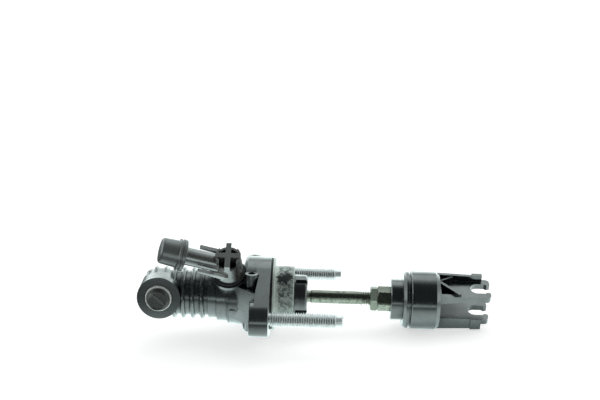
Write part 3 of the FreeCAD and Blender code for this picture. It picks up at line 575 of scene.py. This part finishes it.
def filled_nylon(name, colour, fleck_and_highlight_colour, gloss, fleck=0.35, edge_highlight=0.35, coat=1.0, skin_ior=SKIN_IOR,
                 reach=2.5 * MM, hidden=(0.35, 0.95), leg_highlight=False):
    """Moulded nylon: flecked, a little cloudy in its gloss, with painted shade that darkens its corners and takes
    their gloss, and painted highlights on its edges.
    """
    mat, tree, shader, place = blank_finish(name)
    shader.inputs["Coat IOR"].default_value = skin_ior
    shader.inputs["Coat Roughness"].default_value = gloss
    texture = use_group(tree, moulded_grain, Place=place, Scale=1.0)
    edge = use_group(tree, eased_edge, Radius=NYLON_EDGE)
    deep = use_group(tree, recess, Reach=reach, Low=hidden[0], High=hidden[1])
    spots = math_node(tree, "MULTIPLY", texture.outputs["Fleck"], fleck)
    tone = mix_colour(tree, spots, colour, fleck_and_highlight_colour)
    # Painted highlight: eased edges turn to the paler fleck colour
    tone = mix_colour(tree, math_node(tree, "MULTIPLY", edge.outputs["Edge"], edge_highlight), tone, fleck_and_highlight_colour)
    if leg_highlight:
        # Painted highlight: a pale patch with a ragged rim on the elbow's leg
        away = vector_node(tree, "DISTANCE", place, LEG_HIGHLIGHT_PLACE)
        ragged = math_node(tree, "MULTIPLY", texture.outputs["Flow"], LEG_HIGHLIGHT_R / 2)
        away = math_node(tree, "ADD", away, ragged)
        bloom_and_highlight = ramp_value(tree, away, LEG_HIGHLIGHT_R * LEG_HIGHLIGHT_GONE, LEG_HIGHLIGHT_R * LEG_HIGHLIGHT_FULL)
        tone = mix_colour(tree, math_node(tree, "MULTIPLY", bloom_and_highlight, LEG_HIGHLIGHT_STRENGTH), tone, LEG_HIGHLIGHT)
    # Painted shade: the colour darkens deep in corners and slots
    tone = mix_colour(tree, deep.outputs["Deep"], tone, tuple(c * NYLON_CORNER_SHADE for c in colour))
    join(tree, tone, shader.inputs["Base Color"])
    rough = mix_value(tree, texture.outputs["Flow"], gloss, gloss + NYLON_CLOUDING)
    join(tree, rough, shader.inputs["Roughness"])
    skin = math_node(tree, "MULTIPLY", mix_value(tree, texture.outputs["Flow"], 1.0, SKIN_CLOUDED), coat)
    # Painted shade also takes the glossy skin away deep in corners and slots
    join(tree, mix_value(tree, deep.outputs["Deep"], skin, 0.0), shader.inputs["Coat Weight"])
    relief(tree, shader, texture.outputs["Height"], NYLON_RELIEF, 0.35, edge.outputs["Normal"])
    return mat


def plated_steel(name, colour, stain_colour, gloss, stain=0.35, metallic=1.0, root_shade_colour=None):
    """Turned steel under plating: fine rings, faint stains, painted glints on its edges and, in a thread, painted
    shade in the roots.
    """
    mat, tree, shader, place = blank_finish(name)
    rings = use_group(tree, turned_marks, Place=place, Pitch=RING_PITCH)
    marks = use_group(tree, blotches, Place=place, Size=STEEL_STAIN, Amount=stain)
    edge = use_group(tree, eased_edge, Radius=STEEL_EDGE)
    tone = mix_colour(tree, marks.outputs["Stain"], colour, stain_colour)
    # Painted glint: eased edges turn paler than the steel
    bright = math_node(tree, "MULTIPLY", edge.outputs["Edge"], 0.5)
    tone = mix_colour(tree, bright, tone, tuple(min(1.0, c * STEEL_GLINT) for c in colour))
    shader.inputs["Metallic"].default_value = metallic
    if root_shade_colour:
        # Painted shade: thread roots darken, most of all where they face the front
        deep = use_group(tree, recess, Reach=ROOT_SHADE_REACH, Low=ROOT_SHADE_LOW, High=ROOT_SHADE_HIGH)
        facing = add_node(tree, "ShaderNodeNewGeometry").outputs["Normal"]
        split = add_node(tree, "ShaderNodeSeparateXYZ", Vector=facing)
        forward = math_node(tree, "MULTIPLY", split.outputs["Y"], -1.0)
        rise = math_node(tree, "ARCTAN2", split.outputs["Z"], forward)
        off = math_node(tree, "ABSOLUTE", math_node(tree, "SUBTRACT", rise, ROOT_SHADE_RISE), 0.0)
        shaded_strip = math_node(tree, "MAXIMUM", ramp_value(tree, off, ROOT_SHADE_SPREAD, ROOT_SHADE_SPREAD / 3), ROOT_SHADE_ELSEWHERE)
        tone = mix_colour(tree, math_node(tree, "MULTIPLY", deep.outputs["Deep"], shaded_strip), tone, root_shade_colour)
    join(tree, tone, shader.inputs["Base Color"])
    rough = mix_value(tree, marks.outputs["Stain"], gloss, gloss + STAIN_DULLING)
    join(tree, rough, shader.inputs["Roughness"])
    relief(tree, shader, rings.outputs["Ring"], RING_RELIEF, 0.25, edge.outputs["Normal"])
    return mat


def cast_collar():
    """Frosted grey casting with a big dark burn on top that runs down its front, stains, pale specks, and painted
    highlights on its left part and its edges.
    """
    mat, tree, shader, place = blank_finish("cast_collar")
    small = use_group(tree, blotches, Place=place, Size=1.5 * MM, Amount=0.5)
    wide = use_group(tree, blotches, Place=place, Size=3.0 * MM, Amount=0.5)
    edge = use_group(tree, eased_edge, Radius=0.35 * MM)
    ragged = math_node(tree, "MULTIPLY", wide.outputs["Stain"], BURN_R * BURN_RAGGED)
    away = math_node(tree, "ADD", vector_node(tree, "DISTANCE", place, BURN_PLACE), ragged)
    burn = ramp_value(tree, away, BURN_R, BURN_R * BURN_FULL)
    split = add_node(tree, "ShaderNodeSeparateXYZ", Vector=place)
    beside = math_node(tree, "ABSOLUTE", math_node(tree, "SUBTRACT", split.outputs["X"], BURN_PLACE.x), 0.0)
    run = ramp_value(tree, beside, BURN_R * RUN_GONE, BURN_R * RUN_FULL)
    run = math_node(tree, "MULTIPLY", run, ramp_value(tree, split.outputs["Z"], -BURN_R, BURN_R))
    run = math_node(tree, "MULTIPLY", run, ramp_value(tree, small.outputs["Stain"], 0.3, 0.7))
    # Painted highlight: the collar grows paler towards its left end
    left_highlight = ramp_value(tree, split.outputs["X"], BURN_PLACE.x - BURN_R * HIGHLIGHT_FROM,
                        BURN_PLACE.x - BURN_R * HIGHLIGHT_FULL)
    tone = mix_colour(tree, small.outputs["Stain"], FROST, FROST_STAIN)
    tone = mix_colour(tree, math_node(tree, "MULTIPLY", wide.outputs["Stain"], 0.45), tone, FROST_CLOUD)
    tone = mix_colour(tree, math_node(tree, "MULTIPLY", left_highlight, 0.7), tone, FROST_HIGHLIGHT)
    tone = mix_colour(tree, math_node(tree, "MULTIPLY", run, 0.8), tone, BURN_RUN)
    tone = mix_colour(tree, math_node(tree, "MULTIPLY", small.outputs["Speck"], 0.55), tone, FROST_SPECK)
    # Painted highlight along the collar's edges
    tone = mix_colour(tree, edge.outputs["Edge"], tone, FROST_EDGE_HIGHLIGHT)
    tone = mix_colour(tree, burn, tone, BURN)
    join(tree, tone, shader.inputs["Base Color"])
    join(tree, mix_value(tree, burn, FROST_METALLIC, 0.0), shader.inputs["Metallic"])
    rough = mix_value(tree, wide.outputs["Stain"], 0.42, 0.32)
    join(tree, mix_value(tree, burn, rough, 0.65), shader.inputs["Roughness"])
    relief(tree, shader, small.outputs["Speck"], 0.05 * MM, 0.4, edge.outputs["Normal"])
    return mat


def soft_rubber(name, colour, gloss):
    """Matt rubber with a fine bloom."""
    mat, tree, shader, place = blank_finish(name)
    texture = use_group(tree, moulded_grain, Place=place, Scale=0.8)
    edge = use_group(tree, eased_edge, Radius=0.2 * MM)
    bloom_and_highlight = math_node(tree, "MULTIPLY", texture.outputs["Flow"], 0.35)
    join(tree, mix_colour(tree, bloom_and_highlight, colour, tuple(c * 1.8 + 0.01 for c in colour)), shader.inputs["Base Color"])
    join(tree, mix_value(tree, texture.outputs["Flow"], gloss, gloss + 0.12), shader.inputs["Roughness"])
    relief(tree, shader, texture.outputs["Height"], 0.02 * MM, 0.25, edge.outputs["Normal"])
    return mat


finishes = {
    "body_plastic": filled_nylon("body_plastic", (0.013, 0.015, 0.0165), (0.05, 0.056, 0.06), gloss=0.22,
                                 skin_ior=2.05, reach=3 * MM, hidden=(0.13, 0.55)),
    "elbow_plastic": filled_nylon("elbow_plastic", (0.055, 0.052, 0.046), (0.36, 0.355, 0.33), gloss=0.24,
                                  fleck=0.16, edge_highlight=0.45, skin_ior=2.5, reach=4 * MM, hidden=(0.4, 0.85),
                                  leg_highlight=True),
    # The clevis's long reach paints shade over the inner faces of its fork
    "clevis_plastic": filled_nylon("clevis_plastic", (0.006, 0.0072, 0.0078), (0.2, 0.22, 0.23), gloss=0.2,
                                   fleck=0.05, edge_highlight=0.8, reach=20 * MM, hidden=(0.3, 0.72)),
    "cap_black": filled_nylon("cap_black", (0.006, 0.0065, 0.007), (0.02, 0.021, 0.022), gloss=0.24),
    "transit_cap": filled_nylon("transit_cap", (0.085, 0.087, 0.082), (0.15, 0.152, 0.145), gloss=0.3,
                                fleck=0.2, edge_highlight=0.6, coat=0.65),
    "seal_rubber": soft_rubber("seal_rubber", (0.012, 0.012, 0.012), gloss=0.5),
    "natural_nylon": filled_nylon("natural_nylon", (0.62, 0.58, 0.47), (0.72, 0.69, 0.6), gloss=0.4,
                                  coat=0.2, skin_ior=1.5),
    "stud_zinc": plated_steel("stud_zinc", (0.97, 0.98, 0.98), (0.92, 0.94, 0.93), gloss=0.3, stain=0.25,
                              metallic=0.55, root_shade_colour=(0.02, 0.03, 0.03)),
    "rod_steel": plated_steel("rod_steel", (0.26, 0.27, 0.225), (0.14, 0.145, 0.12), gloss=0.24, stain=0.45),
    "spring_steel": plated_steel("spring_steel", (0.45, 0.45, 0.44), (0.3, 0.3, 0.29), gloss=0.3),
    "collar_metal": cast_collar(),
    "plunger_metal": plated_steel("plunger_metal", (0.5, 0.51, 0.52), (0.4, 0.41, 0.42), gloss=0.3, stain=0.3),
    "port_metal": plated_steel("port_metal", (0.98, 0.96, 0.92), (0.88, 0.85, 0.79), gloss=0.35, stain=0.2,
                               metallic=0.3),
    "plug_brown": filled_nylon("plug_brown", (0.028, 0.026, 0.023), (0.24, 0.235, 0.22), gloss=0.3,
                               edge_highlight=0.7, coat=0.5),
}
nut_finish = plated_steel("nut_zinc", (0.3, 0.33, 0.27), (0.2, 0.22, 0.18), gloss=0.42, metallic=0.45)


# Shapes

def lathe(bm, points, steps):
    """Turn an open profile of (x, r) points round the X axis."""
    verts = [bm.verts.new((x, r, 0)) for x, r in points]
    edges = [bm.edges.new(pair) for pair in zip(verts, verts[1:])]
    bmesh.ops.spin(bm, geom=verts + edges, cent=(0, 0, 0), axis=(1, 0, 0), dvec=(0, 0, 0),
                   angle=FULL_TURN, steps=steps, use_merge=True)


def trim_square(bm, x, outward):
    """Cut a turned shape square at x and close it."""
    geom = bm.verts[:] + bm.edges[:] + bm.faces[:]
    cut = bmesh.ops.bisect_plane(bm, geom=geom, plane_co=(x, 0, 0), plane_no=(outward, 0, 0), clear_outer=True)
    rim = [e for e in cut["geom_cut"] if isinstance(e, bmesh.types.BMEdge)]
    bmesh.ops.edgeloop_fill(bm, edges=rim)


def screw_thread(x0, x1, crest_r, depth, steps=40):
    """Threaded bar: its profile moves one pitch along X in each turn, and is cut square at both ends."""
    bm = bmesh.new()
    count = math.ceil((x1 - x0) / THREAD_PITCH) + 2
    verts = []
    for k in range(count):
        for share, height in THREAD_SHAPE:
            x = x0 + (k - 1 + share) * THREAD_PITCH
            verts.append(bm.verts.new((x, crest_r - depth * (1 - height), 0)))
    edges = [bm.edges.new(pair) for pair in zip(verts, verts[1:])]
    bmesh.ops.spin(bm, geom=verts + edges, cent=(0, 0, 0), axis=(1, 0, 0), dvec=(THREAD_PITCH / steps, 0, 0),
                   angle=FULL_TURN, steps=steps, use_merge=False)
    bmesh.ops.remove_doubles(bm, verts=bm.verts, dist=THREAD_PITCH / 100)
    trim_square(bm, x0, -1)
    trim_square(bm, x1, 1)
    return bm


def take_down(bm, x, length, end_r):
    """Bevel the last stretch of a thread: no point stands outside a cone that ends at x."""
    for v in bm.verts:
        limit = end_r + abs(x - v.co.x)
        r = math.hypot(v.co.y, v.co.z)
        if abs(x - v.co.x) < length and r > limit:
            v.co.y *= limit / r
            v.co.z *= limit / r


def add_to(bm, other):
    """Join a second shape into the first."""
    mesh = bpy.data.meshes.new("joined")
    other.to_mesh(mesh)
    other.free()
    bm.from_mesh(mesh)
    bpy.data.meshes.remove(mesh)


def finished(bm, name, body, slot, node):
    """Make a piece of the object from its mesh, with its finish and the node it stands for. It rides on the body,
    or on none."""
    bmesh.ops.remove_doubles(bm, verts=bm.verts, dist=MERGE_GAP)
    bmesh.ops.recalc_face_normals(bm, faces=bm.faces)
    mesh = bpy.data.meshes.new(name)
    bm.to_mesh(mesh)
    bm.free()
    for face in mesh.polygons:
        face.use_smooth = True
    mesh.set_sharp_from_angle(angle=SHARP_BEND)
    mesh.materials.append(finishes[slot])
    piece = bpy.data.objects.new(name, mesh)
    bpy.context.scene.collection.objects.link(piece)
    if body:
        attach(piece, body)
    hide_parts(node)
    return piece


def face_outlet(bm, low, high):
    """Turn a shape made along X so that it runs inwards from the near end of its place in the outlet."""
    bmesh.ops.rotate(bm, verts=bm.verts, matrix=Matrix.Rotation(math.pi / 2, 3, "Z"))
    bmesh.ops.translate(bm, verts=bm.verts, vec=((low.x + high.x) / 2, low.y, (low.z + high.z) / 2))


def flange_stud(side):
    """Rolled stud: thick root in the ear, a short relief, the thread and a dog point."""
    low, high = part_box("stud_" + side)
    shoulder = high.x - STUD_POINT_L
    bm = screw_thread(STUD_RELIEF, shoulder, STUD_R, THREAD_DEPTH)
    take_down(bm, shoulder, STUD_BEVEL, STUD_R - STUD_BEVEL)
    point = STUD_POINT_R
    edge = STUD_EDGE
    lathe(bm, [(shoulder - edge, 0), (shoulder - edge, point), (high.x - edge, point), (high.x, point - edge),
               (high.x, 0)], steps=40)
    neck = STUD_R - THREAD_DEPTH
    lathe(bm, [(low.x, 0), (low.x, STUD_ROOT_R), (0, STUD_ROOT_R), (0, neck), (STUD_RELIEF + edge, neck),
               (STUD_RELIEF + edge, 0)], steps=40)
    centre = (low + high) / 2
    bmesh.ops.translate(bm, verts=bm.verts, vec=(0, centre.y, centre.z))
    finished(bm, "threaded_stud_" + side, "housing", "stud_zinc", "stud_" + side)


def pushrod():
    """Ball-ended rod with a shallow waist and a rolled thread."""
    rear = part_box("pushrod")[1].x
    bm = screw_thread(ROD_THREAD_X, rear, ROD_THREAD_R, THREAD_DEPTH)
    take_down(bm, rear, ROD_BEVEL, ROD_THREAD_R - ROD_BEVEL)
    profile = []
    neck_angle = math.asin(ROD_NECK_R / ROD_BALL_R)
    for k in range(ROD_BALL_STEPS + 1):
        a = math.pi - (math.pi - neck_angle) * k / ROD_BALL_STEPS
        profile.append((ROD_BALL_X + ROD_BALL_R * math.cos(a), ROD_BALL_R * math.sin(a)))
    taper = ROD_R - ROD_NECK_R
    ease = ROD_R - ROD_WAIST_R
    half = ROD_WAIST_W / 2
    profile += [(ROD_NECK_END, ROD_NECK_R), (ROD_NECK_END + taper, ROD_R)]
    profile += [(ROD_WAIST_X - half - ease, ROD_R), (ROD_WAIST_X - half, ROD_WAIST_R)]
    profile += [(ROD_WAIST_X + half, ROD_WAIST_R), (ROD_WAIST_X + half + ease, ROD_R)]
    profile += [(ROD_THREAD_X, ROD_R), (ROD_THREAD_X + ease, ROD_R - ease), (ROD_THREAD_X + ease, 0)]
    lathe(bm, profile, steps=72)
    finished(bm, "threaded_pushrod", "rod", "rod_steel", "pushrod")


def outlet_plug():
    """Transit plug: dished head with a slotted bar across it, and a coarse thread behind."""
    low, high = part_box("outlet_plug")
    edge = PLUG_EDGE
    head = PLUG_HEAD_L
    bm = screw_thread(head + edge, high.y - low.y, PLUG_CREST_R, PLUG_CREST_R - PLUG_ROOT_R, steps=48)
    dish = PLUG_R - PLUG_RIM
    lathe(bm, [(PLUG_DISH, 0), (PLUG_DISH, dish - edge), (PLUG_DISH - edge, dish), (edge, dish), (0, dish + edge),
               (0, PLUG_R - edge), (edge, PLUG_R), (head - edge, PLUG_R), (head, PLUG_R - edge),
               (head, PLUG_ROOT_R), (head + 2 * edge, PLUG_ROOT_R), (head + 2 * edge, 0)], steps=64)
    bar = bmesh.new()
    bmesh.ops.create_cube(bar, size=1)
    bmesh.ops.scale(bar, verts=bar.verts, vec=(PLUG_DISH, 2 * dish + PLUG_RIM / 2, PLUG_BAR_W))
    bmesh.ops.translate(bar, verts=bar.verts, vec=(PLUG_DISH / 2 + edge, 0, 0))
    front = min(bar.faces, key=lambda face: face.normal.x)
    bmesh.ops.inset_region(bar, faces=[front], thickness=PLUG_BAR_WALL, depth=0)
    bmesh.ops.translate(bar, verts=front.verts[:], vec=(PLUG_DISH / 2, 0, 0))
    bmesh.ops.bevel(bar, geom=bar.edges[:], offset=PLUG_BAR_EDGE, segments=2, profile=0.5, affect="EDGES",
                    material=-1)
    bmesh.ops.rotate(bar, verts=bar.verts, matrix=Matrix.Rotation(PLUG_BAR_TURN, 3, "X"))
    add_to(bm, bar)
    face_outlet(bm, low, high)
    finished(bm, "threaded_outlet_plug", "housing", "plug_brown", "outlet_plug")


def outlet_insert():
    """Metal tube of the outlet: its thin lip stands out of the boss and opens in a cone."""
    low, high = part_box("outlet_insert")
    length = high.y - low.y
    foot = length - INSERT_FLOOR
    bore = INSERT_BORE_R
    lip = INSERT_R - INSERT_LIP
    edge = INSERT_LIP_EDGE
    bm = bmesh.new()
    lathe(bm, [(foot, 0), (foot, bore), (lip - bore, bore), (edge, lip - edge), (0, lip),
               (INSERT_LIP_ROUND, INSERT_R - INSERT_LIP_ROUND), (INSERT_LIP, INSERT_R), (length, INSERT_R),
               (length, 0)], steps=96)
    face_outlet(bm, low, high)
    finished(bm, "outlet_port_tube", "housing", "port_metal", "outlet_insert")


def inlet_cap():
    """Soft transit cap: ringed mouth, tapered skin, round corner and a crowned end."""
    edge = CAP_EDGE
    ring = CAP_RING_R
    ring_end = CAP_RING_L
    groove = CAP_GROOVE_X
    groove_end = groove + CAP_GROOVE_W
    groove_r = ring - CAP_GROOVE_D
    brow = CAP_L - CAP_CROWN
    floor = brow - CAP_WALL
    profile = [(floor, 0), (floor, CAP_BORE_R), (ring_end, CAP_BORE_R), (ring_end - edge, CAP_MOUTH_R)]
    profile += [(0, CAP_MOUTH_R), (0, ring - edge), (edge, ring)]
    profile += [(groove - edge / 2, ring), (groove, ring - edge / 2), (groove, groove_r)]
    profile += [(groove_end, groove_r), (groove_end, ring - edge), (groove_end + edge, ring)]
    profile += [(ring_end - edge, ring), (ring_end, ring - edge), (ring_end, CAP_ROOT_R + edge)]
    profile += [(ring_end + edge, CAP_ROOT_R)]
    for k in range(CAP_CORNER_STEPS + 1):
        a = math.pi / 2 * k / CAP_CORNER_STEPS
        profile.append((brow - CAP_CORNER * (1 - math.sin(a)), CAP_TIP_R - CAP_CORNER * (1 - math.cos(a))))
    crown_r = CAP_TIP_R - CAP_CORNER
    profile += [(CAP_L - CAP_CROWN * share * share, crown_r * share) for share in (0.8, 0.6, 0.4, 0.2, 0.0)]
    bm = bmesh.new()
    lathe(bm, profile, steps=96)
    lean = Vector((0, -math.cos(INLET_LEAN), math.sin(INLET_LEAN)))
    along = Vector((-math.cos(PIPE_RISE), 0, 0)) + lean * math.sin(PIPE_RISE)
    base = Vector((INLET_X, 0, 0)) + lean * PIPE_BASE + along * CAP_START
    bmesh.ops.rotate(bm, verts=bm.verts, matrix=along.to_track_quat("X", "Z").to_matrix())
    bmesh.ops.translate(bm, verts=bm.verts, vec=base)
    finished(bm, "inlet_transit_cap", "housing", "transit_cap", "inlet_cap")


def adjuster_hexagon():
    """Hexagonal insert nut, turned down at its free end, with its shank in the sleeve."""
    low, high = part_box("adjuster_hex")
    corner = HEX_FLATS / math.sqrt(3)
    flat = HEX_FLATS / 2
    bm = bmesh.new()
    lathe(bm, [(low.x, 0), (low.x, corner), (low.x + HEX_DROP / 2, corner), (low.x + HEX_DROP, corner),
               (HEX_FACE, corner), (HEX_FACE, 0)], steps=72)
    sixth = math.pi / 3
    # Pull each ring in to the hexagon's sides, and at the free end to a cone
    for v in bm.verts:
        r = math.hypot(v.co.y, v.co.z)
        if r > flat / 2:
            turn = math.atan2(-v.co.y, v.co.z) - HEX_TURN
            side = flat / math.cos(turn % sixth - sixth / 2)
            cone = flat + (corner - flat) * min(1, (v.co.x - low.x) / HEX_DROP)
            v.co.y *= min(side, cone) / r
            v.co.z *= min(side, cone) / r
    seat = HEX_FACE - HEX_LAP
    lathe(bm, [(seat, 0), (seat, HEX_SHANK_R), (high.x, HEX_SHANK_R), (high.x, 0)], steps=72)
    finished(bm, "adjuster_hexagon", "rod", "rod_steel", "adjuster_hex")


def return_spring():
    """Coil between the bore's end and the plunger, which on the real part shortens on the stroke; here it is one
    fixed coil that rides on no body."""
    low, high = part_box("return_spring")
    coil_r = high.z - SPRING_WIRE_R
    front = low.x + SPRING_WIRE_R
    rear = high.x - SPRING_WIRE_R
    bm = bmesh.new()
    ring = bmesh.ops.create_circle(bm, segments=SPRING_WIRE_SIDES, radius=SPRING_WIRE_R, cap_ends=False)["verts"]
    bmesh.ops.rotate(bm, verts=ring, matrix=Matrix.Rotation(math.pi / 2, 3, "X"))
    bmesh.ops.translate(bm, verts=ring, vec=(front, 0, -coil_r))
    steps = SPRING_TURNS * SPRING_STEPS
    wound = bmesh.ops.spin(bm, geom=bm.verts[:] + bm.edges[:], cent=(0, 0, 0), axis=(1, 0, 0),
                           dvec=((rear - front) / steps, 0, 0), angle=FULL_TURN * SPRING_TURNS, steps=steps,
                           use_merge=False)
    bmesh.ops.edgeloop_fill(bm, edges=[e for e in wound["geom_last"] if isinstance(e, bmesh.types.BMEdge)])
    bmesh.ops.edgeloop_fill(bm, edges=[e for e in bm.edges if e.is_boundary])
    piece = finished(bm, "coiled_return_spring", None, "spring_steel", "return_spring")
    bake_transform(piece)


def dress_nodes():
    """Give each node of the frame the finish of its material slot."""
    for part in frame["record"]["subparts"]:
        node = frame["nodes"][part["node"]]
        node.data.materials.clear()
        node.data.materials.append(finishes[part["material_slot"]])
    frame["nodes"]["lock_nut"].data.materials[0] = nut_finish


bpy.context.scene.view_settings.view_transform = "Standard"
photo_camera()
studio_world()
studio_floor()
soft_lamp("back_softbox", place=(0.1, 0.55, 0.9), width=0.9, height=0.6, power=1.6)
soft_lamp("front_fill", place=(0.05, -0.95, 0.45), width=1.2, height=0.8, power=2.1, mirrored=False)
dress_nodes()
flange_stud("near")
flange_stud("far")
pushrod()
outlet_plug()
outlet_insert()
inlet_cap()
adjuster_hexagon()
return_spring()
